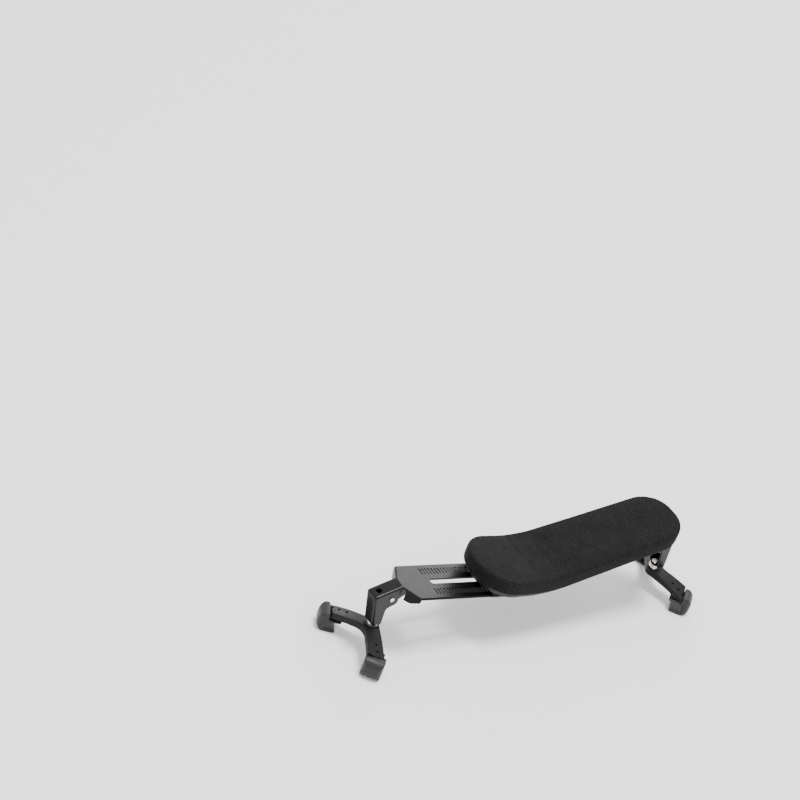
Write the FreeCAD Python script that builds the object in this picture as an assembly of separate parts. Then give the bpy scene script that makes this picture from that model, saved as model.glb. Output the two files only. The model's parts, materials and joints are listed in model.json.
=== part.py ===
import FreeCAD, Part
import math
import os

from FreeCAD import Matrix, Vector

# Violin shoulder rest. Millimetres. +X runs along the rest from the chest end to the shoulder end,
# +Y points towards the violin's scroll, +Z points away from the violin's back, towards the player.
# The origin is the middle of the footprint, level with the flat soles under the four hooks.

os.makedirs("parts", exist_ok=True)

# ---- driving dimensions ------------------------------------------------------------------------

# cradle curve: the line that the underside of the foam follows, seen from the side
CRADLE_LOW_Z = 30.65         # lowest point of the curve
CHEST_SLOPE = 0.158          # rise per mm towards the chest end, on the straight landing
SHOULDER_SLOPE = 0.182       # rise per mm towards the shoulder end
CHEST_TANGENT_X = -14.0      # where the chest landing meets the arc
SHOULDER_TANGENT_X = 16.0

# foam pad and base plate, seen from above
PAD_CHEST_X = -39.5
PAD_SHOULDER_X = 89.4
PAD_CHEST_WIDTH = 39.6
PAD_SHOULDER_WIDTH = 34.5
PAD_CHEST_CORNER = 18.5
PAD_SHOULDER_CORNER = 15.5
PAD_THICKNESS = 9.6
PAD_EDGE_ROUND = 1.8
LINER_THICKNESS = 0.6
PLATE_INSET = 3.0
PLATE_SHOULDER_X = 79.0
PLATE_THICKNESS = 1.9
PLATE_CORNER = 8.0
FLEX_SLOT = (20.0, 4.0)      # the base plate's two lightening slots, length and width
FLEX_SLOT_X = 14.0
FLEX_SLOT_Y = 9.0

# extension bars
BAR_THICKNESS = 1.0
BAR_DROP = 3.4               # from the foam's underside to the bar's top face
BAR_HALF_WIDTH = 12.6
BAR_TRAVEL_OUT = 14.0
BAR_TAIL = 3.0               # sheet left between the slot and the bar's inner end
BAR_CORNER_X = 78.8          # where the tapered end begins
BAR_END_X = 84.2
BAR_END_HALF_WIDTH = 3.8
BAR_CORNER_ROUND = 1.2
BAR_TAIL_ROUND = 3.0
BAR_EDGE_ROUND = 0.8         # along the top edge of the bar's outline
SLOT_HALF_WIDTH = 1.75
SLOT_CORNER = 1.2
SLOT_OUTER_X = 64.2
SLIT_PITCH = 2.05
SLIT_WIDTH = 0.9
SLIT_Y = (5.3, 9.5)
SLIT_OUTER_X = 65.5          # centre of the outermost slit
FLANGE_THICKNESS = 0.9
FLANGE_INNER_Y = 5.3         # the flange under the taper stops here, clear of the leg's cheeks
FLANGE_DEPTH = 6.8
FLANGE_TOP_SHARE = 0.85      # the flange starts this far down the sheet's thickness

# leg bracket: a bent channel that carries the fork, and folds about a cross pin
FORK_TOP_Z = 14.2
PIN_X = 89.3
PIN_BELOW_BAR = 6.55         # from the bar's top line at its end down to the pin
KNEE_UP = 2.55               # knee corner, above the pin
KNEE_ROUND = 1.6
NECK_IN = 4.7                # neck's inner end, from the pin
NECK_UP = 7.2
CHEEK_HALF_WIDTH = 3.95
SHEET = 0.9
BEND_ROUND = 1.2             # along the channel's two bends, from the neck down to the foot
LUG_RADIUS = 4.4             # the rounded lug around the pin
LUG_SKEW = 0.6
LUG_TOP = 2.6                # heights of the lug's top and the neck's underside, from the pin
NECK_UNDER = 4.6
CHEEK_WAIST_DEPTH = 6.2      # below the pin, where the cheeks narrow towards the foot
CHEEK_WAIST_OUT = 1.3
FOOT_OUT = 3.2               # outer face of the leg at its foot, from the hub's axis
FOOT_IN = 2.0
NECK_HOLE_RADIUS = 1.6
NECK_HOLE_FROM_KNEE = 4.3
KNUCKLE_HALF_WIDTH = 2.6
KNUCKLE_RADIUS = 3.5
KNUCKLE_INNER_X = 76.0
KNUCKLE_END_GAP = 0.6        # from the bar's end back to the knuckle's
KNUCKLE_NOSE = (1.0, 2.0)    # along and down, the blunt inner end of the knuckle
KNUCKLE_LEAD = 4.0           # flat stretch under the knuckle before the pin
PIN_WASHER_THICKNESS = 0.35
PIN_WASHER_RADIUS = 2.4
PIN_WASHER_GAP = 0.05        # from the knuckle's face to its washer
PIN_RADIUS = 1.0
PIN_HEAD_RADIUS = 1.3
PIN_HEAD_HEIGHT = 0.5
RUNNING = 0.06               # radial clearance of a shaft that turns in its hole

# pivot between the leg's foot and the fork
PIVOT_RADIUS = 1.5
PIVOT_HEAD_RADIUS = 2.8
PIVOT_HEAD_HEIGHT = 1.3
PIVOT_DRIVE = (0.7, 0.6)      # the screw's slot, width and depth
PIVOT_END = 0.5              # the screw's end stands this far above the nut
PIVOT_WASHER_RADIUS = 3.2
PIVOT_WASHER_HEIGHT = 2.2
PIVOT_WASHER_ROUND = 0.3
PIVOT_NUT_SHIFT = 0.25       # the nut sits this far inboard of the screw's axis, off the leg's wall
PIVOT_NUT_FLATS = 4.0
PIVOT_NUT_HEIGHT = 1.8
FACE_GAP = 0.15              # between faces that slide past each other

# fork and hooks, in the fork's own plan: u points outboard from the hub, v runs along the edge
FORK_BACK_U = -4.5           # where the two arms' back edges would meet, and their front edges
FORK_FRONT_U = 4.04
FORK_BACK_ROUND = 4.0
FORK_FRONT_ROUND = 7.6
FORK_THICKNESS = 4.6
ARM_BACK_END = (7.6, 22.6)   # where an arm ends under its sleeve, on the back edge and the front edge
ARM_FRONT_END = (13.4, 14.4)
ARCH_HALF_SPAN = 26.0        # the fork's arched top and underside are drawn out to here
ARCH_TOP_FALL = 2.4
ARCH_UNDER_FALL = 0.3
HUB_STEP = 0.35              # the hub's faces stand this proud of the arms
HUB_RIM = 0.6                # and this much wider than the washer and the screw head on them
ARM_DROP = 3.8               # how much lower the arms end than the hub
HOOK_U = 10.5
HOOK_V = 18.5
HOOK_SPLAY_DEG = 38.0
HOOK_WIDTH = 10.5
HOOK_BACK = 6.5              # the sleeve reaches this far back along the arm
EDGE_PLANE_Z = 6.2           # the violin's back rests here
LIP_TOP_Z = 1.8
THROAT_WALL = 2.0            # from the hook's centre out to the throat's wall
HOOK_OUTER = 5.6
LIP_TIP = -4.4
HOOK_TOP_Z = 11.1
HOOK_TOP_START = 0.3         # on top, the sleeve begins here and leaves the arm bare behind it
HOOK_LAYER = 1.3             # rubber between the arm and the violin's back
HOOK_ROUND = 4.4             # the C's two outer corners, seen from the side
HOOK_PLAN_ROUND = 3.0        # its outer corners, seen from above
THROAT_ROUND = 0.6
LIP_ROUND = 0.7
CORE_HALF_WIDTH = 3.6
CORE_Z = (7.2, 9.8)
CORE_REACH = 3.2
ARM_HOLE_RADIUS = 0.65
ARM_HOLES = ((6.1, 12.2), (7.9, 15.9), (9.3, 19.1))

# bar clamps under the base plate
GUIDE_LENGTH = 17.0
GUIDE_HALF_WIDTH = 12.0
GUIDE_BAR_GAP = 0.1
GUIDE_RIB = (1.8, 4.2)       # the rib that runs in the bar's slot, from the screw's axis outboard
GUIDE_RIB_HEIGHT = 1.1
GUIDE_RIB_HALF_WIDTH = 1.6
RIVET_RADIUS = 1.0
RIVET_HEAD_RADIUS = 1.8
RIVET_HEAD_HEIGHT = 0.4      # let into the guide, so that the bar passes
RIVET_POSITION = (6.2, 9.5)
CLAMP_LENGTH = 15.0
CLAMP_HALF_WIDTH = 10.5
CLAMP_THICKNESS = 1.6
CLAMP_GAP = 0.8              # clamp plate to bar when open; the screw closes all but a hair of it
CLAMP_TEETH_EACH_WAY = 3
TOOTH_HEIGHT = 0.3
TOOTH_SHARE = 0.6            # a tooth's width as a share of a slit's
TOOTH_END_GAP = 0.3
LOCK_RADIUS = 1.45
LOCK_HEAD_RADIUS = 6.0
LOCK_HEAD_HEIGHT = 4.0
LOCK_FLUTES = 16
LOCK_FLUTE_RADIUS = 0.75
LOCK_FLUTE_OFFSET = 0.35     # flute centres lie this far outside the head
LOCK_END_DEPTH = 0.3         # the screw's end and the nut's top, below the foam's underside
LOCK_NUT_RADIUS = 3.0
LOCK_NUT_THICKNESS = 1.5
LOCK_NUT_DEPTH = 0.1

# per side: outboard direction, slope of its landing, the slit over its clamp, the hub's distance from
# the middle, the knee corner's distance from the pin, and the fork's turn at rest
SIDES = {
    "left": {"sign": -1, "slope": CHEST_SLOPE, "clamp_slit": 21,
             "hub_x": 92.0, "knee_out": 11.0, "fork_turn_deg": -6.0},
    "right": {"sign": 1, "slope": SHOULDER_SLOPE, "clamp_slit": 9,
              "hub_x": 94.5, "knee_out": 6.8, "fork_turn_deg": -9.5},
}

Y_AXIS = Vector(0, 1, 0)
Z_AXIS = Vector(0, 0, 1)

# ---- shape helpers -----------------------------------------------------------------------------


def rounded_wire(points, radii, place):
    """Closed wire through 2-D points with rounded corners; place turns (a, b) into a 3-D point."""
    count = len(points)
    starts, mids, ends = [], [], []
    for i, corner in enumerate(points):
        before = points[i - 1]
        after = points[(i + 1) % count]
        to_before = (before[0] - corner[0], before[1] - corner[1])
        to_after = (after[0] - corner[0], after[1] - corner[1])
        len_b = math.hypot(*to_before)
        len_a = math.hypot(*to_after)
        ub = (to_before[0] / len_b, to_before[1] / len_b)
        ua = (to_after[0] / len_a, to_after[1] / len_a)
        half = math.acos(max(-1.0, min(1.0, ub[0] * ua[0] + ub[1] * ua[1]))) / 2
        radius = radii[i]
        reach = radius / math.tan(half)
        bis = (ub[0] + ua[0], ub[1] + ua[1])
        bis_len = math.hypot(*bis) or 1.0
        to_mid = radius / math.sin(half) - radius
        starts.append((corner[0] + ub[0] * reach, corner[1] + ub[1] * reach))
        ends.append((corner[0] + ua[0] * reach, corner[1] + ua[1] * reach))
        mids.append((corner[0] + bis[0] / bis_len * to_mid, corner[1] + bis[1] / bis_len * to_mid))
    edges = []
    for i in range(count):
        if radii[i] > 0:
            edges.append(Part.Arc(place(*starts[i]), place(*mids[i]), place(*ends[i])).toShape())
        nxt = starts[(i + 1) % count]
        if math.hypot(nxt[0] - ends[i][0], nxt[1] - ends[i][1]) > 1e-6:
            edges.append(Part.LineSegment(place(*ends[i]), place(*nxt)).toShape())
    return Part.Wire(edges)


def plan_solid(points, radii, low, high):
    """Upright prism over a rounded outline given as (x, y)."""
    face = Part.Face(rounded_wire(points, radii, lambda a, b: Vector(a, b, low)))
    return face.extrude(Vector(0, 0, high - low))


def side_solid(points, radii, y_low, y_high):
    """Prism across the rest over a rounded outline given as (x, z)."""
    face = Part.Face(rounded_wire(points, radii, lambda a, b: Vector(a, y_low, b)))
    return face.extrude(Vector(0, y_high - y_low, 0))


def disc(radius, height, base, axis=Z_AXIS):
    return Part.makeCylinder(radius, height, base, axis)


def fuse_all(shapes):
    return shapes[0].multiFuse(shapes[1:]).removeSplitter()


# ---- cradle curve ------------------------------------------------------------------------------

ARC_RADIUS = (SHOULDER_TANGENT_X - CHEST_TANGENT_X) / (
    math.sin(math.atan(SHOULDER_SLOPE)) + math.sin(math.atan(CHEST_SLOPE)))
ARC_CENTRE = Vector(CHEST_TANGENT_X + ARC_RADIUS * math.sin(math.atan(CHEST_SLOPE)), 0,
                    CRADLE_LOW_Z + ARC_RADIUS)
CHEST_NORMAL = Vector(math.sin(math.atan(CHEST_SLOPE)), 0, math.cos(math.atan(CHEST_SLOPE)))
SHOULDER_NORMAL = Vector(-math.sin(math.atan(SHOULDER_SLOPE)), 0, math.cos(math.atan(SHOULDER_SLOPE)))


def cradle_edges(offset, x_low, x_high):
    """Line, arc and line at a distance above the cradle curve, between two x positions."""
    radius = ARC_RADIUS - offset
    chest = ARC_CENTRE - CHEST_NORMAL * radius
    bottom = ARC_CENTRE - Z_AXIS * radius
    shoulder = ARC_CENTRE - SHOULDER_NORMAL * radius
    start = Vector(x_low, 0, chest.z + CHEST_SLOPE * (chest.x - x_low))
    end = Vector(x_high, 0, shoulder.z + SHOULDER_SLOPE * (x_high - shoulder.x))
    return [Part.LineSegment(start, chest), Part.Arc(chest, bottom, shoulder),
            Part.LineSegment(shoulder, end)], start, end


def cradle_slab(low, high, x_low=-60.0, x_high=120.0, half_width=40.0):
    """Curved sheet between two distances from the cradle curve."""
    lower, lower_start, lower_end = cradle_edges(low, x_low, x_high)
    upper, upper_start, upper_end = cradle_edges(high, x_low, x_high)
    edges = [edge.toShape() for edge in lower]
    edges.append(Part.LineSegment(lower_end, upper_end).toShape())
    edges += [edge.toShape() for edge in reversed(upper)]
    edges.append(Part.LineSegment(upper_start, lower_start).toShape())
    face = Part.Face(Part.Wire(Part.__sortEdges__(edges)))
    face.translate(Vector(0, -half_width, 0))
    return face.extrude(Vector(0, 2 * half_width, 0))


def clamp_x(side):
    """Distance from the middle to the lock screw's axis, where it passes through the bar's slot."""
    return SLIT_OUTER_X - SIDES[side]["clamp_slit"] * SLIT_PITCH


def landing(side):
    """A point on a side's straight landing at the clamp, with its outboard and normal directions."""
    sign, slope = SIDES[side]["sign"], SIDES[side]["slope"]
    tilt = math.atan(slope)
    normal = Vector(-sign * math.sin(tilt), 0, math.cos(tilt))
    outboard = Vector(sign * math.cos(tilt), 0, math.sin(tilt))
    touch = ARC_CENTRE - normal * ARC_RADIUS
    reach = clamp_x(side) - BAR_DROP * math.sin(tilt) - sign * touch.x
    point = touch + outboard * (reach / math.cos(tilt))
    return point, outboard, normal


# ---- platform: foam, liner, base plate ---------------------------------------------------------


def pad_outline(inset, shoulder_x, shoulder_corner):
    chest_half = PAD_CHEST_WIDTH / 2 - inset
    shoulder_half = PAD_SHOULDER_WIDTH / 2 - inset
    chest_x = PAD_CHEST_X + inset
    points = [(chest_x, -chest_half), (shoulder_x, -shoulder_half),
              (shoulder_x, shoulder_half), (chest_x, chest_half)]
    chest_corner = PAD_CHEST_CORNER - inset
    return points, [chest_corner, shoulder_corner, shoulder_corner, chest_corner]


def outline_prism(inset, shoulder_x, shoulder_corner):
    points, radii = pad_outline(inset, shoulder_x, shoulder_corner)
    return plan_solid(points, radii, 0.0, 90.0)


def foam_pad():
    pad = cradle_slab(LINER_THICKNESS, PAD_THICKNESS)
    pad = pad.common(outline_prism(0.0, PAD_SHOULDER_X, PAD_SHOULDER_CORNER))
    rims = [edge for edge in pad.Edges
            if abs(edge.tangentAt(edge.FirstParameter).z) < 0.6 and edge.Length > 1.0]
    return pad.makeFillet(PAD_EDGE_ROUND, rims)


def pad_liner():
    sheet = cradle_slab(0.0, LINER_THICKNESS)
    return sheet.common(outline_prism(PLATE_INSET + 1.0, PLATE_SHOULDER_X - 1.0, PLATE_CORNER))


def base_plate():
    plate = cradle_slab(-PLATE_THICKNESS, 0.0)
    plate = plate.common(outline_prism(PLATE_INSET, PLATE_SHOULDER_X, PLATE_CORNER))
    cuts = []
    length, width = FLEX_SLOT
    for y in (-FLEX_SLOT_Y, FLEX_SLOT_Y):
        low, high = FLEX_SLOT_X - length / 2, FLEX_SLOT_X + length / 2
        corners = [(low, y - width / 2), (high, y - width / 2),
                   (high, y + width / 2), (low, y + width / 2)]
        cuts.append(plan_solid(corners, [width * 0.45] * 4, 0.0, 90.0))
    for side in SIDES:
        point, outboard, normal = landing(side)
        cuts.append(disc(LOCK_NUT_RADIUS, 20.0, point - normal * 10.0, normal))
        for centre in rivet_points(side):
            cuts.append(disc(RIVET_RADIUS, 20.0, centre - normal * 10.0, normal))
    return plate.cut(Part.makeCompound(cuts))


# ---- bar clamps --------------------------------------------------------------------------------


def on_landing(shape, side):
    """Places a shape drawn at the clamp (x outboard, z along the normal) onto its landing."""
    point, outboard, normal = landing(side)
    across = normal.cross(outboard)
    turn = Matrix(outboard.x, across.x, normal.x, point.x,
                  outboard.y, across.y, normal.y, point.y,
                  outboard.z, across.z, normal.z, point.z,
                  0, 0, 0, 1)
    placed = shape.copy()
    placed.transformShape(turn)
    return placed


def rivet_points(side):
    point, outboard, normal = landing(side)
    along, aside = RIVET_POSITION
    return [point + outboard * a + Y_AXIS * b for a in (-along, along) for b in (-aside, aside)]


def guide_face():
    """Depth of the slide guide's lower face, which the bar runs under."""
    return -BAR_DROP + GUIDE_BAR_GAP


def slide_guide(side):
    """Flat liner under the base plate, with a rib that keeps the bar's slot in line."""
    face = guide_face()
    half = GUIDE_LENGTH / 2
    body = Part.makeBox(GUIDE_LENGTH, 2 * GUIDE_HALF_WIDTH, -PLATE_THICKNESS - face,
                        Vector(-half, -GUIDE_HALF_WIDTH, face))
    rib = Part.makeBox(GUIDE_RIB[1] - GUIDE_RIB[0], 2 * GUIDE_RIB_HALF_WIDTH, GUIDE_RIB_HEIGHT,
                       Vector(GUIDE_RIB[0], -GUIDE_RIB_HALF_WIDTH, face - GUIDE_RIB_HEIGHT))
    guide = on_landing(fuse_all([body, rib]), side)
    point, outboard, normal = landing(side)
    cuts = [disc(LOCK_RADIUS + RUNNING, 20.0, point - normal * 10.0, normal), guide_rivets(side)]
    return guide.cut(Part.makeCompound(cuts))


def guide_rivets(side):
    point, outboard, normal = landing(side)
    solids = []
    for centre in rivet_points(side):
        low = centre + normal * guide_face()
        shank = disc(RIVET_RADIUS, -guide_face(), low, normal)
        head = disc(RIVET_HEAD_RADIUS, RIVET_HEAD_HEIGHT, low, normal)
        solids.append(fuse_all([shank, head]))
    return Part.makeCompound(solids)


def clamp_top():
    return -BAR_DROP - BAR_THICKNESS - CLAMP_GAP


def clamp_plate(side):
    half = CLAMP_LENGTH / 2
    outline = [(-half, -CLAMP_HALF_WIDTH), (half, -CLAMP_HALF_WIDTH),
               (half, CLAMP_HALF_WIDTH), (-half, CLAMP_HALF_WIDTH)]
    plate = plan_solid(outline, [2.0] * 4, clamp_top() - CLAMP_THICKNESS, clamp_top())
    teeth = []
    tooth_width = SLIT_WIDTH * TOOTH_SHARE
    tooth_length = SLIT_Y[1] - SLIT_Y[0] - 2 * TOOTH_END_GAP
    for step in range(-CLAMP_TEETH_EACH_WAY, CLAMP_TEETH_EACH_WAY + 1):
        for y in (-SLIT_Y[1] + TOOTH_END_GAP, SLIT_Y[0] + TOOTH_END_GAP):
            corner = Vector(step * SLIT_PITCH - tooth_width / 2, y, clamp_top())
            teeth.append(Part.makeBox(tooth_width, tooth_length, TOOTH_HEIGHT, corner))
    plate = fuse_all([plate] + teeth)
    bore = disc(LOCK_RADIUS + RUNNING, 20.0, Vector(0, 0, clamp_top() - 10.0))
    return on_landing(plate.cut(bore), side)


def lock_screw(side):
    head_top = clamp_top() - CLAMP_THICKNESS - FACE_GAP
    head = disc(LOCK_HEAD_RADIUS, LOCK_HEAD_HEIGHT, Vector(0, 0, head_top - LOCK_HEAD_HEIGHT))
    flutes = []
    for i in range(LOCK_FLUTES):
        angle = 2 * math.pi * i / LOCK_FLUTES
        centre = Vector(math.cos(angle), math.sin(angle), 0) * (LOCK_HEAD_RADIUS + LOCK_FLUTE_OFFSET)
        base = centre + Vector(0, 0, head_top - LOCK_HEAD_HEIGHT)
        flutes.append(disc(LOCK_FLUTE_RADIUS, LOCK_HEAD_HEIGHT, base))
    head = head.cut(Part.makeCompound(flutes))
    shank = disc(LOCK_RADIUS, -head_top - LOCK_END_DEPTH, Vector(0, 0, head_top))
    return on_landing(fuse_all([head, shank]), side)


def lock_nut(side):
    low = -LOCK_NUT_DEPTH - LOCK_NUT_THICKNESS
    nut = disc(LOCK_NUT_RADIUS, LOCK_NUT_THICKNESS, Vector(0, 0, low))
    nut = nut.cut(disc(LOCK_RADIUS + RUNNING, 10.0, Vector(0, 0, low - 5.0)))
    return on_landing(nut, side)


# ---- extension bar, drawn on the right side and mirrored for the left ---------------------------


def bar_top_z(side, x):
    """Height of the bar's top face at a distance x outboard of the middle."""
    point, outboard, normal = landing(side)
    top = point - normal * BAR_DROP
    return top.z + SIDES[side]["slope"] * (x - abs(top.x))


def bar_sheet(side, top, bottom, x_low, x_high):
    """Sloping sheet between two depths below the bar's top face."""
    corners = [(x_low, bar_top_z(side, x_low) - bottom), (x_high, bar_top_z(side, x_high) - bottom),
               (x_high, bar_top_z(side, x_high) - top), (x_low, bar_top_z(side, x_low) - top)]
    return side_solid(corners, [0.0] * 4, -30.0, 30.0)


def extension_bar(side):
    thickness = BAR_THICKNESS * math.sqrt(1 + SIDES[side]["slope"] ** 2)
    slot_inner = clamp_x(side) - BAR_TRAVEL_OUT - LOCK_RADIUS
    inner = slot_inner - BAR_TAIL
    outline = [(inner, -BAR_HALF_WIDTH), (BAR_CORNER_X, -BAR_HALF_WIDTH),
               (BAR_END_X, -BAR_END_HALF_WIDTH), (BAR_END_X, BAR_END_HALF_WIDTH),
               (BAR_CORNER_X, BAR_HALF_WIDTH), (inner, BAR_HALF_WIDTH)]
    radii = [BAR_TAIL_ROUND, BAR_CORNER_ROUND, 0.0, 0.0, BAR_CORNER_ROUND, BAR_TAIL_ROUND]
    sheet = bar_sheet(side, 0.0, thickness, 0.0, 100.0).common(plan_solid(outline, radii, 0.0, 90.0))
    top_face = max(sheet.Faces, key=lambda face: face.Area * (face.normalAt(0, 0).z > 0.5))
    rim = [edge for edge in top_face.Edges if inner + 5.0 < edge.CenterOfMass.x < BAR_END_X - 0.01]
    sheet = sheet.makeFillet(BAR_EDGE_ROUND, rim)
    slot = [(slot_inner, -SLOT_HALF_WIDTH), (SLOT_OUTER_X, -SLOT_HALF_WIDTH),
            (SLOT_OUTER_X, SLOT_HALF_WIDTH), (slot_inner, SLOT_HALF_WIDTH)]
    cuts = [plan_solid(slot, [SLOT_CORNER] * 4, 0.0, 90.0)]
    for i in range(int((SLIT_OUTER_X - slot_inner) / SLIT_PITCH)):
        x = SLIT_OUTER_X - i * SLIT_PITCH
        for y in (SLIT_Y[0], -SLIT_Y[1]):
            cuts.append(Part.makeBox(SLIT_WIDTH, SLIT_Y[1] - SLIT_Y[0], 90.0,
                                     Vector(x - SLIT_WIDTH / 2, y, 0)))
    return fuse_all([sheet.cut(Part.makeCompound(cuts))] + taper_flanges(side, thickness))


def taper_flanges(side, thickness):
    """Down-turned walls under the bar's two tapered edges, deepest next to the leg."""
    run = (BAR_END_X - BAR_CORNER_X, BAR_END_HALF_WIDTH - BAR_HALF_WIDTH)
    length = math.hypot(*run)
    along = (run[0] / length, run[1] / length)
    inward = (along[1], -along[0])
    inner_x = BAR_CORNER_X + run[0] * (BAR_HALF_WIDTH - FLANGE_INNER_Y) / (-run[1])
    flanges = []
    for mirror in (1, -1):
        strip = [(BAR_CORNER_X, BAR_HALF_WIDTH), (inner_x, FLANGE_INNER_Y),
                 (inner_x + inward[0] * FLANGE_THICKNESS, FLANGE_INNER_Y + inward[1] * FLANGE_THICKNESS),
                 (BAR_CORNER_X + inward[0] * FLANGE_THICKNESS,
                  BAR_HALF_WIDTH + inward[1] * FLANGE_THICKNESS)]
        strip = [(x, y * mirror) for x, y in strip]
        wall = plan_solid(strip, [0.0] * 4, 0.0, 90.0)
        top = thickness * FLANGE_TOP_SHARE
        profile = [(BAR_CORNER_X - 1.5, bar_top_z(side, BAR_CORNER_X - 1.5) - top),
                   (BAR_END_X, bar_top_z(side, BAR_END_X) - top),
                   (BAR_END_X, bar_top_z(side, BAR_END_X) - FLANGE_DEPTH),
                   (inner_x - 2.0, bar_top_z(side, inner_x) - FLANGE_DEPTH)]
        flanges.append(wall.common(side_solid(profile, [0.0, 0.0, 0.0, 1.5], -30.0, 30.0)))
    return flanges


def pin_z(side):
    return bar_top_z(side, BAR_END_X) - PIN_BELOW_BAR


def hinge_knuckle(side):
    """Solid tongue welded under the bar's end, with the bore for the fold pin."""
    under = BAR_THICKNESS * math.sqrt(1 + SIDES[side]["slope"] ** 2)
    z = pin_z(side)
    end_x = BAR_END_X - KNUCKLE_END_GAP
    nose_x = KNUCKLE_INNER_X + KNUCKLE_NOSE[0]
    outline = [(KNUCKLE_INNER_X, bar_top_z(side, KNUCKLE_INNER_X) - under),
               (nose_x, bar_top_z(side, KNUCKLE_INNER_X) - under - KNUCKLE_NOSE[1]),
               (PIN_X - KNUCKLE_LEAD, z - KNUCKLE_RADIUS),
               (PIN_X + KNUCKLE_RADIUS, z - KNUCKLE_RADIUS),
               (PIN_X + KNUCKLE_RADIUS, z + KNUCKLE_RADIUS),
               (end_x, z + KNUCKLE_RADIUS),
               (end_x, bar_top_z(side, end_x) - under)]
    rounds = [0.0, 0.8, 2.0, KNUCKLE_RADIUS - 0.05, KNUCKLE_RADIUS - 0.05, 0.5, 0.0]
    block = side_solid(outline, rounds, -KNUCKLE_HALF_WIDTH, KNUCKLE_HALF_WIDTH)
    return block.cut(disc(PIN_RADIUS, 20.0, Vector(PIN_X, -10.0, z), Y_AXIS))


def fold_pin(side):
    """Rivet through both cheeks and the knuckle, with a low domed head on each side."""
    z = pin_z(side)
    seat = CHEEK_HALF_WIDTH + FACE_GAP
    pieces = [disc(PIN_RADIUS, 2 * seat, Vector(PIN_X, -seat, z), Y_AXIS)]
    for direction in (-1, 1):
        head = disc(PIN_HEAD_RADIUS, PIN_HEAD_HEIGHT, Vector(PIN_X, direction * seat, z), Y_AXIS * direction)
        rim = [edge for edge in head.Edges if abs(edge.CenterOfMass.y) > seat + PIN_HEAD_HEIGHT - 0.01]
        pieces.append(head.makeFillet(PIN_HEAD_HEIGHT * 0.7, rim[:1]))
    return fuse_all(pieces)


def pin_washers(side):
    """Thin rings between the knuckle and the leg's cheeks."""
    z = pin_z(side)
    solids = []
    for direction in (-1, 1):
        base = Vector(PIN_X, direction * (KNUCKLE_HALF_WIDTH + PIN_WASHER_GAP), z)
        ring = disc(PIN_WASHER_RADIUS, PIN_WASHER_THICKNESS, base, Y_AXIS * direction)
        solids.append(ring.cut(disc(PIN_RADIUS, 2.0, base - Y_AXIS * direction, Y_AXIS * direction)))
    return Part.makeCompound(solids)


# ---- leg bracket -------------------------------------------------------------------------------


def leg_base_z():
    return FORK_TOP_Z + PIVOT_WASHER_HEIGHT + FACE_GAP


def leg_face(side, inset, neck_run_out):
    """Neck end, knee corner and foot corner of the bracket's two outer faces, moved inwards by inset."""
    z = pin_z(side)
    knee = Vector(PIN_X + SIDES[side]["knee_out"], 0, z + KNEE_UP)
    neck = Vector(PIN_X - NECK_IN, 0, z + NECK_UP)
    foot = Vector(SIDES[side]["hub_x"] + FOOT_OUT, 0, leg_base_z())
    along_neck = (knee - neck).normalize()
    along_leg = (foot - knee).normalize()
    into_neck = Y_AXIS.cross(along_neck)
    into_leg = Y_AXIS.cross(along_leg)
    knee_in = knee + (into_neck + into_leg) * (inset / (1 + into_neck.dot(into_leg)))
    neck_in = neck + into_neck * inset - along_neck * neck_run_out
    foot_in = foot + into_leg * inset + Z_AXIS * inset
    return [(point.x, point.z) for point in (neck_in, knee_in, foot_in)]


def bend_edges(block, neck, knee, foot):
    """The block's edges along its outer path, from the neck over the knee down to the foot."""
    path = Part.makePolygon([Vector(x, 0, z) for x, z in (neck, knee, foot)])
    found = []
    for edge in block.Edges:
        middle = edge.CenterOfMass
        beside = abs(abs(middle.y) - CHEEK_HALF_WIDTH) < 0.01
        if beside and path.distToShape(Part.Vertex(middle.x, 0, middle.z))[0] < KNEE_ROUND * 0.5:
            found.append(edge)
    return found


def leg_bracket(side):
    z = pin_z(side)
    neck, knee, foot = leg_face(side, 0.0, 0.0)
    hub_x = SIDES[side]["hub_x"]
    foot_inner = hub_x - FOOT_IN
    lug_in = PIN_X - LUG_RADIUS
    outline = [neck, knee, foot, (foot_inner, foot[1]),
               (PIN_X + CHEEK_WAIST_OUT, z - CHEEK_WAIST_DEPTH),
               (PIN_X - LUG_RADIUS * 0.2, z - LUG_RADIUS - LUG_SKEW),
               (lug_in, z - LUG_RADIUS + LUG_SKEW),
               (lug_in, z + LUG_TOP),
               (neck[0], z + NECK_UNDER)]
    rounds = [0.0, KNEE_ROUND, 0.0, 1.0, 2.4, 2.2, 2.5, 1.8, 0.5]
    block = side_solid(outline, rounds, -CHEEK_HALF_WIDTH, CHEEK_HALF_WIDTH)
    block = block.makeFillet(BEND_ROUND, bend_edges(block, neck, knee, foot))
    in_neck, in_knee, in_foot = leg_face(side, SHEET, 6.0)
    hollow = [in_neck, in_knee, in_foot, (foot_inner - 12.0, in_foot[1]), (in_neck[0], z - 12.0)]
    inside = CHEEK_HALF_WIDTH - SHEET
    channel = block.cut(side_solid(hollow, [0.0, 0.4, 0.4, 0.0, 0.0], -inside, inside))
    down_neck = Vector(knee[0] - neck[0], 0, knee[1] - neck[1]).normalize()
    centre = Vector(knee[0], 0, knee[1]) - down_neck * NECK_HOLE_FROM_KNEE
    inward = Y_AXIS.cross(down_neck)
    cuts = [disc(NECK_HOLE_RADIUS, 5.0, centre - inward * 2.5, inward),
            disc(PIN_RADIUS + RUNNING, 20.0, Vector(PIN_X, -10.0, z), Y_AXIS),
            disc(PIVOT_RADIUS, 6.0, Vector(hub_x, 0, foot[1] - 2.0))]
    return channel.cut(Part.makeCompound(cuts))


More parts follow.
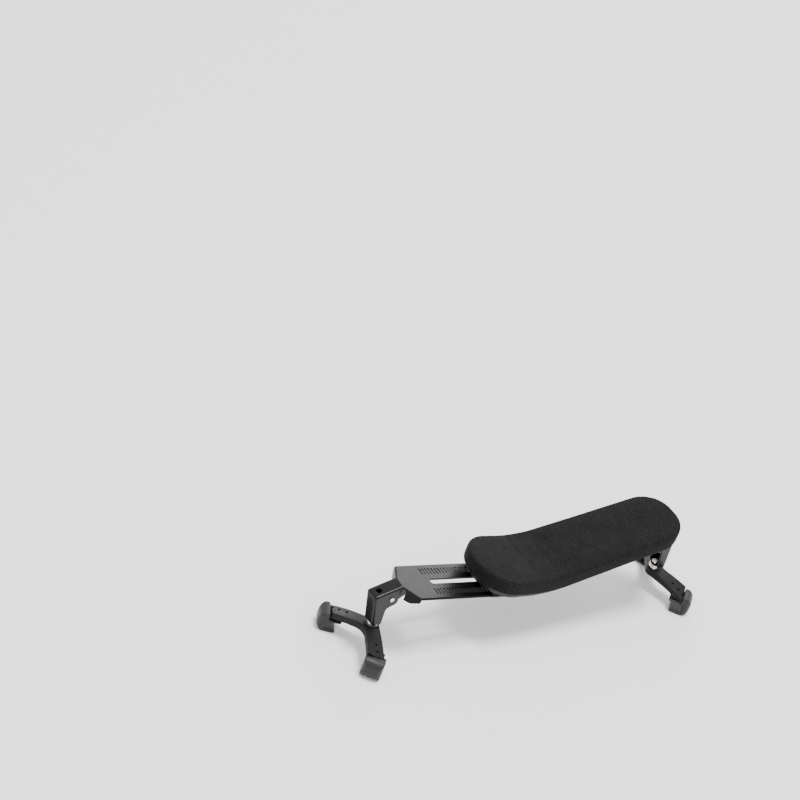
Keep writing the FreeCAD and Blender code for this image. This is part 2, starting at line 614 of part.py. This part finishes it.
def pivot_screw(hub_x):
    head_top = FORK_TOP_Z - FORK_THICKNESS - FACE_GAP
    head_low = head_top - PIVOT_HEAD_HEIGHT
    head = disc(PIVOT_HEAD_RADIUS, PIVOT_HEAD_HEIGHT, Vector(hub_x, 0, head_low))
    width, depth = PIVOT_DRIVE
    drive = Part.makeBox(4 * PIVOT_HEAD_RADIUS, width, depth,
                         Vector(hub_x - 2 * PIVOT_HEAD_RADIUS, -width / 2, head_low))
    top = leg_base_z() + SHEET + PIVOT_NUT_HEIGHT + PIVOT_END
    shank = disc(PIVOT_RADIUS, top - head_top, Vector(hub_x, 0, head_top))
    return fuse_all([head.cut(drive), shank])


def pivot_washer(hub_x):
    ring = disc(PIVOT_WASHER_RADIUS, PIVOT_WASHER_HEIGHT, Vector(hub_x, 0, FORK_TOP_Z + FACE_GAP))
    rim = [edge for edge in ring.Edges if edge.CenterOfMass.z > FORK_TOP_Z + FACE_GAP + 0.1
           and len(edge.Vertexes) == 1]
    ring = ring.makeFillet(PIVOT_WASHER_ROUND, rim[:1])
    return ring.cut(disc(PIVOT_RADIUS, 4.0, Vector(hub_x, 0, FORK_TOP_Z - 1.0)))


def pivot_nut(hub_x, bracket):
    """Nut inside the leg's foot, with one side cut away where it seats against the leg's outer wall."""
    base = leg_base_z() + SHEET
    across = PIVOT_NUT_FLATS / 2 / math.cos(math.pi / 6)
    corners = [Vector(hub_x - PIVOT_NUT_SHIFT + across * math.cos(math.pi * (i / 3 + 1 / 6)),
                      across * math.sin(math.pi * (i / 3 + 1 / 6)), base) for i in range(7)]
    nut = Part.Face(Part.makePolygon(corners)).extrude(Vector(0, 0, PIVOT_NUT_HEIGHT))
    nut = nut.cut(disc(PIVOT_RADIUS, 8.0, Vector(hub_x, 0, base - 2.0)))
    return max(nut.cut(bracket).Solids, key=lambda solid: solid.Volume)


# ---- fork and hooks, drawn about the hub with u along +X ----------------------------------------


def hook_frame(hand):
    """Centre of a hook and its outward direction; hand is +1 or -1 along v."""
    splay = math.radians(HOOK_SPLAY_DEG)
    return Vector(HOOK_U, hand * HOOK_V, 0), Vector(math.cos(splay), hand * math.sin(splay), 0)


def along_hook(shape, hand):
    """Turns a shape drawn with x along the hook's outward direction onto that hook."""
    centre, direction = hook_frame(hand)
    turned = shape.copy()
    turned.rotate(Vector(0, 0, 0), Z_AXIS, math.degrees(math.atan2(direction.y, direction.x)))
    turned.translate(centre)
    return turned


def arched_slab():
    """Everything between the fork's arched underside and its arched top, seen along u."""
    top_ends = FORK_TOP_Z - ARM_DROP - ARCH_TOP_FALL
    low_ends = EDGE_PLANE_Z - ARCH_UNDER_FALL
    top_middle = FORK_TOP_Z - HUB_STEP
    low_middle = FORK_TOP_Z - FORK_THICKNESS + HUB_STEP
    start = -20.0

    def arch(ends, middle):
        return Part.Arc(Vector(start, -ARCH_HALF_SPAN, ends), Vector(start, 0, middle),
                        Vector(start, ARCH_HALF_SPAN, ends)).toShape()

    sides = [Part.LineSegment(Vector(start, v, low_ends), Vector(start, v, top_ends)).toShape()
             for v in (-ARCH_HALF_SPAN, ARCH_HALF_SPAN)]
    edges = [arch(top_ends, top_middle), arch(low_ends, low_middle)] + sides
    return Part.Face(Part.Wire(Part.__sortEdges__(edges))).extrude(Vector(60, 0, 0))


def fork_body():
    (back_u, back_v), (front_u, front_v) = ARM_BACK_END, ARM_FRONT_END
    outline = [(FORK_BACK_U, 0.0), (back_u, -back_v), (front_u, -front_v),
               (FORK_FRONT_U, 0.0), (front_u, front_v), (back_u, back_v)]
    body = plan_solid(outline, [FORK_BACK_ROUND, 0.0, 0.0, FORK_FRONT_ROUND, 0.0, 0.0], 0.0, 40.0)
    body = body.common(arched_slab())
    core_low, core_high = CORE_Z
    core = Part.makeBox(HOOK_BACK + CORE_REACH, 2 * CORE_HALF_WIDTH, core_high - core_low,
                        Vector(-HOOK_BACK, -CORE_HALF_WIDTH, core_low))
    hub_seat = disc(PIVOT_WASHER_RADIUS + HUB_RIM, 2.0, Vector(0, 0, FORK_TOP_Z - 2.0))
    hub_under = disc(PIVOT_HEAD_RADIUS + HUB_RIM, 2.0, Vector(0, 0, FORK_TOP_Z - FORK_THICKNESS))
    body = fuse_all([body, hub_seat, hub_under] + [along_hook(core, hand) for hand in (-1, 1)])
    cuts = [disc(PIVOT_RADIUS + RUNNING, 40.0, Vector(0, 0, 0))]
    for u, v in ARM_HOLES:
        cuts += [disc(ARM_HOLE_RADIUS, 40.0, Vector(u, hand * v, 0)) for hand in (-1, 1)]
    return body.cut(Part.makeCompound(cuts))


def hook_sleeve(hand, fork):
    """Rubber sleeve over an arm's end: a C in side view, with a flat sole under its lip."""
    layer_top = EDGE_PLANE_Z + HOOK_LAYER
    profile = [(-HOOK_BACK, EDGE_PLANE_Z), (-HOOK_BACK, layer_top), (HOOK_TOP_START, layer_top),
               (HOOK_TOP_START, HOOK_TOP_Z), (HOOK_OUTER, HOOK_TOP_Z), (HOOK_OUTER, 0.0),
               (LIP_TIP, 0.0), (LIP_TIP, LIP_TOP_Z), (THROAT_WALL, LIP_TOP_Z), (THROAT_WALL, EDGE_PLANE_Z)]
    rounds = [0.4, 0.4, 0.0, 0.6, HOOK_ROUND, HOOK_ROUND, LIP_ROUND, LIP_ROUND, THROAT_ROUND, THROAT_ROUND]
    half = HOOK_WIDTH / 2
    plan = [(-HOOK_BACK, -half), (HOOK_OUTER, -half), (HOOK_OUTER, half), (-HOOK_BACK, half)]
    sleeve = side_solid(profile, rounds, -half, half)
    sleeve = sleeve.common(plan_solid(plan, [1.0, HOOK_PLAN_ROUND, HOOK_PLAN_ROUND, 1.0], 0.0, HOOK_TOP_Z))
    sleeve = along_hook(sleeve, hand)
    return sleeve.cut(fork)


# ---- assembly ----------------------------------------------------------------------------------


def mirrored(shape, side):
    if SIDES[side]["sign"] > 0:
        return shape
    return shape.mirror(Vector(0, 0, 0), Vector(1, 0, 0))


def side_nodes(side):
    """Every piece of one end of the rest, drawn on the +X side and mirrored if needed."""
    hub_x = SIDES[side]["hub_x"]
    fork = fork_body()
    bracket = leg_bracket(side)
    fork_pieces = {"fork": fork, "front_hook": hook_sleeve(-1, fork), "rear_hook": hook_sleeve(1, fork)}
    nodes = {"extension_bar": extension_bar(side), "hinge_knuckle": hinge_knuckle(side),
             "fold_pin": fold_pin(side), "pin_washers": pin_washers(side),
             "leg_bracket": bracket, "pivot_screw": pivot_screw(hub_x),
             "pivot_washer": pivot_washer(hub_x), "pivot_nut": pivot_nut(hub_x, bracket)}
    for name, shape in fork_pieces.items():
        shape.rotate(Vector(0, 0, 0), Z_AXIS, SIDES[side]["fork_turn_deg"])
        shape.translate(Vector(hub_x, 0, 0))
        nodes[name] = shape
    placed = {name: mirrored(shape, side) for name, shape in nodes.items()}
    placed["slide_guide"] = slide_guide(side)
    placed["guide_rivets"] = guide_rivets(side)
    placed["clamp_plate"] = clamp_plate(side)
    placed["lock_screw"] = lock_screw(side)
    placed["lock_nut"] = lock_nut(side)
    return {side + "_" + name: shape for name, shape in placed.items()}


def main():
    nodes = {"foam_pad": foam_pad(), "pad_liner": pad_liner(), "base_plate": base_plate()}
    for side in SIDES:
        nodes.update(side_nodes(side))
    whole = Part.makeCompound(list(nodes.values())).BoundBox
    shift = Vector(-(whole.XMin + whole.XMax) / 2, -(whole.YMin + whole.YMax) / 2, -whole.ZMin)
    print("frame shift", [round(value, 4) for value in shift])
    print("size", round(whole.XLength, 2), round(whole.YLength, 2), round(whole.ZLength, 2))
    for side in SIDES:
        sign = SIDES[side]["sign"]
        point, outboard, normal = landing(side)
        print(side, "pin", round(sign * PIN_X + shift.x, 3), round(pin_z(side) + shift.z, 3),
              "hub", round(sign * SIDES[side]["hub_x"] + shift.x, 3), "slide axis", outboard, "lock axis", normal,
              "lock at", point + shift)
    for name, shape in nodes.items():
        shape.translate(shift)
        shape.exportStep("parts/" + name + ".step")
        print(name, shape.isValid(), len(shape.Solids), round(shape.Volume, 1))


main()
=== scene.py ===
import json
import math

import bmesh
import bpy
from mathutils import Matrix, Vector


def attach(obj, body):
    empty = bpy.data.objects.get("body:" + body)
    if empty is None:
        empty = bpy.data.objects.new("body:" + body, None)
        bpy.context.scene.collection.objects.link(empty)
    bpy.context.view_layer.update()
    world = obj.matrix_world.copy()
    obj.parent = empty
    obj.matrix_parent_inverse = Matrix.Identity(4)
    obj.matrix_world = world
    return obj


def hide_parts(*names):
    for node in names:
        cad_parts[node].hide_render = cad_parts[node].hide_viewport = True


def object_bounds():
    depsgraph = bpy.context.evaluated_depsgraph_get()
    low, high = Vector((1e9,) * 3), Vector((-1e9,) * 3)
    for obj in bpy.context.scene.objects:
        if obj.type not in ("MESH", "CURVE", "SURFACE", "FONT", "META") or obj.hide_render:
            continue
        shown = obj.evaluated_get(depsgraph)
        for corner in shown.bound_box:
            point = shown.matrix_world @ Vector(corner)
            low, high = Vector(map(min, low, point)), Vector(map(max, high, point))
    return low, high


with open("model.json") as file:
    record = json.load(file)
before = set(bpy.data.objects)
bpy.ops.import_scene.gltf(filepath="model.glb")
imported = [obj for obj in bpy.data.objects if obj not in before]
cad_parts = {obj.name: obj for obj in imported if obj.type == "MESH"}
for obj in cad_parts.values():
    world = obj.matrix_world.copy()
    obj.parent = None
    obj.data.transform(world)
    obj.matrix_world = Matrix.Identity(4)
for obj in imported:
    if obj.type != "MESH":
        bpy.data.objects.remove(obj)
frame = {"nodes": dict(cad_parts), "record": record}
cad_box = [list(corner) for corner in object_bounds()]

# Violin shoulder rest. Metres, in the CAD model's frame: +X towards the shoulder end, +Z up, away from
# the violin. MM turns the millimetres that small sizes are given in into metres.

MM = 0.001
SIDES = ("left", "right")

# camera
AIM = Vector((-0.04105, 0.09064, 0.0761))
CAMERA_DISTANCE = 1.4628
CAMERA_AZIMUTH = math.radians(45.62)       # 0 looks along +Y
CAMERA_ELEVATION = math.radians(33.74)
CAMERA_ROLL = math.radians(21.30)
LENS = 129.66

# how far each kind of edge is rounded, in mm, and what counts as an edge
SHEET_EDGE = 0.14
BRACKET_EDGE = 0.22
SMALL_EDGE = 0.12
EDGE_SEGMENTS = 3
EDGE_ANGLE = math.radians(28.0)
SHARP_ANGLE = math.radians(35.0)

# a CAD mesh is made into one skin: points this close are one, faces this close to one plane are one
WELD_DISTANCE = 0.002 * MM
FLAT_ANGLE = math.radians(0.5)

# moulded parts: the size of the skin's cells in mm, and how many times it is smoothed
PLASTIC_SKIN = (0.28, 10)
RUBBER_SKIN = (0.28, 18)
MELT_FACTOR = 0.5

# foam pad: its skin's cells, how far inside the CAD's surface it starts, and how far it may swell
PAD_VOXEL = 0.9 * MM
PAD_START_INSET = 0.3 * MM
PAD_MOST_SWELL = 0.6 * MM
PAD_PRESSURE = 4.0
PAD_STIFFNESS = 40.0
PAD_BENDING = 6.0
PAD_STEPS = 20

# studio
SENSOR_WIDTH = 36.0
NEAREST_SEEN = 0.01
FLOOR_REACH = 6.0
FLOOR_GAP = 0.02 * MM
LAMPS_AIM = Vector((0, 0, 0.03))
SURROUNDINGS = 1.25

record = frame["record"]
slot_of = {part["node"]: part["material_slot"] for part in record["subparts"]}
body_of = {node: body for body, nodes in record["behaviour"]["bodies"].items() for node in nodes}


# ---- materials ---------------------------------------------------------------------------------


class Shader:
    """A material's node tree, with short ways to add the nodes that these finishes are built from."""

    def __init__(self, name):
        self.material = bpy.data.materials.new(name)
        self.material.use_nodes = True
        self.tree = self.material.node_tree
        self.surface = self.tree.nodes["Principled BSDF"]
        self.place = self.add("ShaderNodeTexCoord").outputs["Object"]

    def add(self, kind, **settings):
        node = self.tree.nodes.new(kind)
        for key, value in settings.items():
            setattr(node, key, value)
        return node

    def link(self, start, end):
        self.tree.links.new(start, end)

    def noise(self, size_mm, detail=4.0, roughness=0.55):
        """Noise whose features are about size_mm across."""
        node = self.add("ShaderNodeTexNoise")
        node.inputs["Scale"].default_value = 1.0 / (size_mm * MM)
        node.inputs["Detail"].default_value = detail
        node.inputs["Roughness"].default_value = roughness
        self.link(self.place, node.inputs["Vector"])
        return node.outputs["Fac"]

    def cells(self, size_mm):
        """Distance to the nearest of scattered points about size_mm apart."""
        node = self.add("ShaderNodeTexVoronoi")
        node.inputs["Scale"].default_value = 1.0 / (size_mm * MM)
        self.link(self.place, node.inputs["Vector"])
        return node.outputs["Distance"]

    def stretched_noise(self, size_mm, stretch, detail=3.0):
        """Noise drawn out along X, for brushed or rolled metal."""
        mapping = self.add("ShaderNodeMapping")
        mapping.inputs["Scale"].default_value = (1.0 / stretch, 1.0, 1.0)
        self.link(self.place, mapping.inputs["Vector"])
        node = self.add("ShaderNodeTexNoise")
        node.inputs["Scale"].default_value = 1.0 / (size_mm * MM)
        node.inputs["Detail"].default_value = detail
        self.link(mapping.outputs["Vector"], node.inputs["Vector"])
        return node.outputs["Fac"]

    def spread(self, value, low, high, from_low=0.3, from_high=0.7):
        """Maps a value near 0.5 onto the range from low to high."""
        node = self.add("ShaderNodeMapRange")
        node.inputs["From Min"].default_value = from_low
        node.inputs["From Max"].default_value = from_high
        node.inputs["To Min"].default_value = low
        node.inputs["To Max"].default_value = high
        self.link(value, node.inputs["Value"])
        return node.outputs["Result"]

    def colours(self, factor, *stops):
        """Colour ramp over a factor, from (position, grey-or-rgb) stops."""
        node = self.add("ShaderNodeValToRGB")
        ramp = node.color_ramp
        while len(ramp.elements) < len(stops):
            ramp.elements.new(0.5)
        for element, (position, colour) in zip(ramp.elements, stops):
            rgb = colour if isinstance(colour, tuple) else (colour, colour, colour)
            element.position = position
            element.color = (*rgb, 1.0)
        self.link(factor, node.inputs["Fac"])
        return node.outputs["Color"]

    def sum(self, first, second, share):
        """first plus share times second."""
        node = self.add("ShaderNodeMath", operation="MULTIPLY_ADD")
        self.link(second, node.inputs[0])
        node.inputs[1].default_value = share
        self.link(first, node.inputs[2])
        return node.outputs["Value"]

    def bump(self, height, depth_mm, strength):
        """Raises the surface by the height, up to about depth_mm."""
        node = self.add("ShaderNodeBump")
        node.inputs["Distance"].default_value = depth_mm * MM
        node.inputs["Strength"].default_value = strength
        self.link(height, node.inputs["Height"])
        self.link(node.outputs["Normal"], self.surface.inputs["Normal"])

    def set(self, **values):
        """Sets the shader's own sockets, each to a constant or to another node's output."""
        names = {"colour": "Base Color", "roughness": "Roughness", "metallic": "Metallic",
                 "specular": "Specular IOR Level", "sheen": "Sheen Weight",
                 "sheen_roughness": "Sheen Roughness"}
        for key, value in values.items():
            socket = self.surface.inputs[names[key]]
            if isinstance(value, bpy.types.NodeSocket):
                self.link(value, socket)
            elif isinstance(value, tuple):
                socket.default_value = (*value, 1.0)
            else:
                socket.default_value = value


def foam():
    """Fine-pored charcoal foam: open cells, fine mottling, hardly any shine and a trace of sheen."""
    s = Shader("foam")
    mottle = s.sum(s.noise(0.7, detail=5.0), s.noise(8.0, detail=4.0), 0.25)
    pores = s.cells(0.55)
    s.set(colour=s.colours(s.spread(mottle, 0.0, 1.0, 0.45, 0.8),
                           (0.0, (0.0048, 0.0044, 0.0044)),
                           (0.5, (0.0090, 0.0083, 0.0082)),
                           (1.0, (0.0160, 0.0148, 0.0144))),
          roughness=s.spread(s.noise(1.2), 0.86, 0.98),
          specular=0.10, sheen=0.02, sheen_roughness=0.5)
    s.bump(s.sum(s.noise(0.8, detail=6.0), pores, 0.9), 0.16, 0.55)
    return s.material


def satin_black_metal():
    """The bars' black sheet: satin, with a fine rolled grain along X."""
    s = Shader("satin_black_metal")
    grain = s.stretched_noise(0.18, 9.0)
    cloud = s.noise(14.0)
    s.set(colour=s.colours(s.spread(s.sum(cloud, grain, 0.35), 0.0, 1.0, 0.45, 0.9),
                           (0.0, (0.0100, 0.0100, 0.0105)),
                           (1.0, (0.0140, 0.0140, 0.0146))),
          metallic=0.85,
          roughness=s.spread(s.sum(s.noise(2.5), grain, 0.5), 0.30, 0.42, 0.5, 1.0),
          specular=0.4)
    s.bump(grain, 0.012, 0.5)
    return s.material


def gloss_black_metal():
    """Black powder coat on bent steel: semi-gloss, with a slight orange peel."""
    s = Shader("gloss_black_metal")
    peel = s.noise(0.75, detail=2.0)
    s.set(colour=s.colours(s.spread(s.noise(6.0), 0.0, 1.0),
                           (0.0, (0.0060, 0.0058, 0.0058)),
                           (1.0, (0.0100, 0.0096, 0.0096))),
          roughness=s.spread(s.noise(1.8), 0.22, 0.32),
          specular=0.22)
    s.bump(peel, 0.035, 0.35)
    return s.material


def black_anodised():
    """Dull anodised aluminium of the base plate."""
    s = Shader("black_anodised")
    grain = s.stretched_noise(0.25, 6.0)
    s.set(colour=s.colours(s.spread(grain, 0.0, 1.0), (0.0, 0.022), (1.0, 0.036)),
          metallic=0.6, roughness=s.spread(grain, 0.38, 0.5))
    s.bump(grain, 0.015, 0.5)
    return s.material


def bright_nickel():
    """Nickel plate, dulled a little by handling."""
    s = Shader("bright_nickel")
    smudge = s.noise(1.1, detail=5.0)
    s.set(colour=s.colours(s.spread(smudge, 0.0, 1.0),
                           (0.0, (0.60, 0.57, 0.52)), (1.0, (0.78, 0.76, 0.72))),
          metallic=1.0, roughness=s.spread(smudge, 0.14, 0.3))
    s.bump(s.noise(0.3), 0.006, 0.5)
    return s.material


def moulded_plastic(name, low, high, rough_low, rough_high):
    """Spark-eroded moulding texture: fine grain with slow changes of gloss."""
    s = Shader(name)
    grain = s.noise(0.16, detail=3.0)
    s.set(colour=s.colours(s.spread(s.sum(s.noise(5.0), grain, 0.5), 0.0, 1.0, 0.55, 0.95),
                           (0.0, low), (1.0, high)),
          roughness=s.spread(s.noise(2.2), rough_low, rough_high),
          specular=0.18)
    s.bump(grain, 0.03, 0.45)
    return s.material


def hook_rubber():
    """Soft rubber: dark grey, with a dusty bloom and a silky highlight."""
    s = Shader("hook_rubber")
    bloom = s.sum(s.noise(2.6, detail=5.0), s.noise(0.22), 0.35)
    s.set(colour=s.colours(s.spread(bloom, 0.0, 1.0, 0.5, 0.85),
                           (0.0, (0.0090, 0.0088, 0.0092)), (1.0, (0.0160, 0.0155, 0.0161))),
          roughness=s.spread(bloom, 0.42, 0.56, 0.5, 0.85),
          specular=0.34, sheen=0.05, sheen_roughness=0.4)
    s.bump(s.noise(0.2, detail=4.0), 0.02, 0.5)
    return s.material


def pale_floor():
    """Plain white, without shine."""
    s = Shader("floor")
    s.set(colour=(0.97, 0.97, 0.97), roughness=0.9, specular=0.1)
    return s.material


finishes = {
    "foam": foam(),
    "liner": moulded_plastic("felt_liner", 0.012, 0.022, 0.85, 0.95),
    "plate": black_anodised(),
    "bar": satin_black_metal(),
    "bracket": gloss_black_metal(),
    "nickel": bright_nickel(),
    "fork": moulded_plastic("fork_plastic", (0.0062, 0.0060, 0.0062), (0.0098, 0.0095, 0.0098),
                            0.46, 0.58),
    "hook": hook_rubber(),
    "guide": moulded_plastic("guide_nylon", 0.016, 0.026, 0.5, 0.6),
    "knob": moulded_plastic("knob_plastic", 0.018, 0.030, 0.42, 0.55),
}


# ---- pieces ------------------------------------------------------------------------------------


def take_place(piece, node):
    """Makes a finished mesh stand for a CAD node, on that node's body and in its finish."""
    piece.data.materials.clear()
    piece.data.materials.append(finishes[slot_of[node]])
    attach(piece, body_of[node])
    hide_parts(node)
    return piece


def welded_copy(node, name):
    """A new object with the node's shape as one skin, its flat areas freed of needless edges."""
    mesh = frame["nodes"][node].data.copy()
    skin = bmesh.new()
    skin.from_mesh(mesh)
    bmesh.ops.remove_doubles(skin, verts=skin.verts, dist=WELD_DISTANCE)
    bmesh.ops.dissolve_limit(skin, angle_limit=FLAT_ANGLE, verts=skin.verts, edges=skin.edges)
    skin.to_mesh(mesh)
    skin.free()
    mesh.name = name
    piece = bpy.data.objects.new(name, mesh)
    bpy.context.scene.collection.objects.link(piece)
    return piece


def apply_modifiers(piece):
    """Replaces a piece's mesh by what its modifiers make of it."""
    view = bpy.context.evaluated_depsgraph_get()
    made = bpy.data.meshes.new_from_object(piece.evaluated_get(view))
    piece.modifiers.clear()
    piece.data = made


def rounded_piece(node, edge_mm):
    """The node's shape with its sharp edges rounded. Its shading is evened when it is drawn."""
    piece = welded_copy(node, node + "_finished")
    bevel = piece.modifiers.new("edges", "BEVEL")
    bevel.width = edge_mm * MM
    bevel.segments = EDGE_SEGMENTS
    bevel.limit_method = "ANGLE"
    bevel.angle_limit = EDGE_ANGLE
    bevel.use_clamp_overlap = True
    apply_modifiers(piece)
    piece.data.shade_smooth()
    piece.data.set_sharp_from_angle(angle=SHARP_ANGLE)
    even = piece.modifiers.new("even_shading", "WEIGHTED_NORMAL")
    even.mode = "FACE_AREA"
    even.keep_sharp = True
    return take_place(piece, node)


def moulded_piece(node, voxel_mm, passes):
    """The node's shape with every edge melted round, as a moulding's are."""
    piece = welded_copy(node, node + "_finished")
    remesh = piece.modifiers.new("skin", "REMESH")
    remesh.mode = "VOXEL"
    remesh.voxel_size = voxel_mm * MM
    smooth = piece.modifiers.new("melt", "SMOOTH")
    smooth.factor = MELT_FACTOR
    smooth.iterations = passes
    apply_modifiers(piece)
    piece.data.shade_smooth()
    return take_place(piece, node)


def restyle(node):
    """Keeps the CAD node itself and gives it its finish."""
    kept = frame["nodes"][node]
    material = finishes[slot_of[node]]
    if not kept.material_slots:
        kept.data.materials.append(material)
    for slot in kept.material_slots:
        slot.material = material


# ---- foam pad ----------------------------------------------------------------------------------


def swell(piece):
    """Blows the pad up slightly as cloth, never moving a point further than PAD_MOST_SWELL."""
    rest = [vertex.co.copy() for vertex in piece.data.vertices]
    cloth = piece.modifiers.new("cloth", "CLOTH")
    cloth.settings.use_pressure = True
    cloth.settings.uniform_pressure_force = PAD_PRESSURE
    cloth.settings.effector_weights.gravity = 0.0
    cloth.settings.tension_stiffness = PAD_STIFFNESS
    cloth.settings.compression_stiffness = PAD_STIFFNESS
    cloth.settings.bending_stiffness = PAD_BENDING
    cloth.point_cache.frame_start = 1
    cloth.point_cache.frame_end = PAD_STEPS
    scene = bpy.context.scene
    for step in range(1, PAD_STEPS + 1):
        scene.frame_set(step)
    apply_modifiers(piece)
    scene.frame_set(1)
    for vertex, start in zip(piece.data.vertices, rest):
        move = vertex.co - start
        if move.length > PAD_MOST_SWELL:
            vertex.co = start + move * (PAD_MOST_SWELL / move.length)


def foam_pad():
    """The pad as a fine skin, started a little inside the CAD's surface.

    The swelling brings its top nearly back to that surface, and its sides hardly at all.
    """
    piece = welded_copy("foam_pad", "foam_pad_finished")
    remesh = piece.modifiers.new("skin", "REMESH")
    remesh.mode = "VOXEL"
    remesh.voxel_size = PAD_VOXEL
    apply_modifiers(piece)
    start = [vertex.co - vertex.normal * PAD_START_INSET for vertex in piece.data.vertices]
    for vertex, point in zip(piece.data.vertices, start):
        vertex.co = point
    swell(piece)
    finer = piece.modifiers.new("finer", "SUBSURF")
    finer.levels = 1
    finer.render_levels = 1
    apply_modifiers(piece)
    piece.data.shade_smooth()
    return take_place(piece, "foam_pad")


# ---- build -------------------------------------------------------------------------------------

foam_pad()
for side in SIDES:
    rounded_piece(side + "_extension_bar", SHEET_EDGE)
    rounded_piece(side + "_leg_bracket", BRACKET_EDGE)
    rounded_piece(side + "_hinge_knuckle", BRACKET_EDGE)
    moulded_piece(side + "_fork", *PLASTIC_SKIN)
    moulded_piece(side + "_front_hook", *RUBBER_SKIN)
    moulded_piece(side + "_rear_hook", *RUBBER_SKIN)
    rounded_piece(side + "_slide_guide", SMALL_EDGE)
    rounded_piece(side + "_clamp_plate", SMALL_EDGE)
    rounded_piece(side + "_lock_screw", SMALL_EDGE)
    rounded_piece(side + "_pivot_screw", SMALL_EDGE)
    for name in ("fold_pin", "pin_washers", "pivot_washer", "pivot_nut", "guide_rivets", "lock_nut"):
        restyle(side + "_" + name)
rounded_piece("base_plate", SMALL_EDGE)
restyle("pad_liner")


# ---- studio ------------------------------------------------------------------------------------


def look_from(position, aim, roll=0.0):
    """World matrix of a camera or lamp that points its -Z from position to aim."""
    forward = (aim - position).normalized()
    level = forward.cross(Vector((0, 0, 1))).normalized()
    above = level.cross(forward)
    right = level * math.cos(roll) + above * math.sin(roll)
    up = right.cross(forward)
    return Matrix.Translation(position) @ Matrix((right, up, -forward)).transposed().to_4x4()


def direction(azimuth, elevation):
    """Unit vector from the object towards something seen at that azimuth (0 is -Y) and elevation."""
    return Vector((-math.sin(azimuth) * math.cos(elevation), -math.cos(azimuth) * math.cos(elevation),
                   math.sin(elevation)))


def add_camera():
    """The camera stands CAMERA_DISTANCE from AIM and looks at it."""
    camera = bpy.data.objects.new("camera", bpy.data.cameras.new("camera"))
    camera.data.lens = LENS
    camera.data.sensor_width = SENSOR_WIDTH
    camera.data.clip_start = NEAREST_SEEN
    bpy.context.scene.collection.objects.link(camera)
    position = AIM + direction(CAMERA_AZIMUTH, CAMERA_ELEVATION) * CAMERA_DISTANCE
    camera.matrix_world = look_from(position, AIM, CAMERA_ROLL)
    bpy.context.scene.camera = camera


def add_softbox(name, azimuth_deg, elevation_deg, distance, size, watts):
    """A rectangular lamp of that size in metres, pointed at LAMPS_AIM."""
    lamp = bpy.data.lights.new(name, "AREA")
    lamp.shape = "RECTANGLE"
    lamp.size, lamp.size_y = size
    lamp.energy = watts
    holder = bpy.data.objects.new(name, lamp)
    bpy.context.scene.collection.objects.link(holder)
    position = direction(math.radians(azimuth_deg), math.radians(elevation_deg)) * distance
    holder.matrix_world = look_from(position, LAMPS_AIM)


def add_floor():
    """A square floor just below the soles, left out of the object."""
    mesh = bpy.data.meshes.new("floor")
    reach = FLOOR_REACH
    corners = [(-reach, -reach, 0), (reach, -reach, 0), (reach, reach, 0), (-reach, reach, 0)]
    mesh.from_pydata(corners, [], [(0, 1, 2, 3)])
    floor = bpy.data.objects.new("floor", mesh)
    floor.location.z = cad_box[0][2] - FLOOR_GAP
    floor.data.materials.append(pale_floor())
    bpy.context.scene.collection.objects.link(floor)


def add_surroundings(strength):
    """Even white light from all round."""
    world = bpy.data.worlds.new("studio")
    world.use_nodes = True
    background = world.node_tree.nodes["Background"]
    background.inputs["Color"].default_value = (1.0, 1.0, 1.0, 1.0)
    background.inputs["Strength"].default_value = strength
    bpy.context.scene.world = world


add_camera()
add_floor()
add_surroundings(SURROUNDINGS)
add_softbox("back_softbox", 222.0, 14.0, 1.8, (1.2, 0.5), 16.0)
add_softbox("top_softbox", 0.0, 86.0, 1.5, (0.4, 0.4), 24.0)
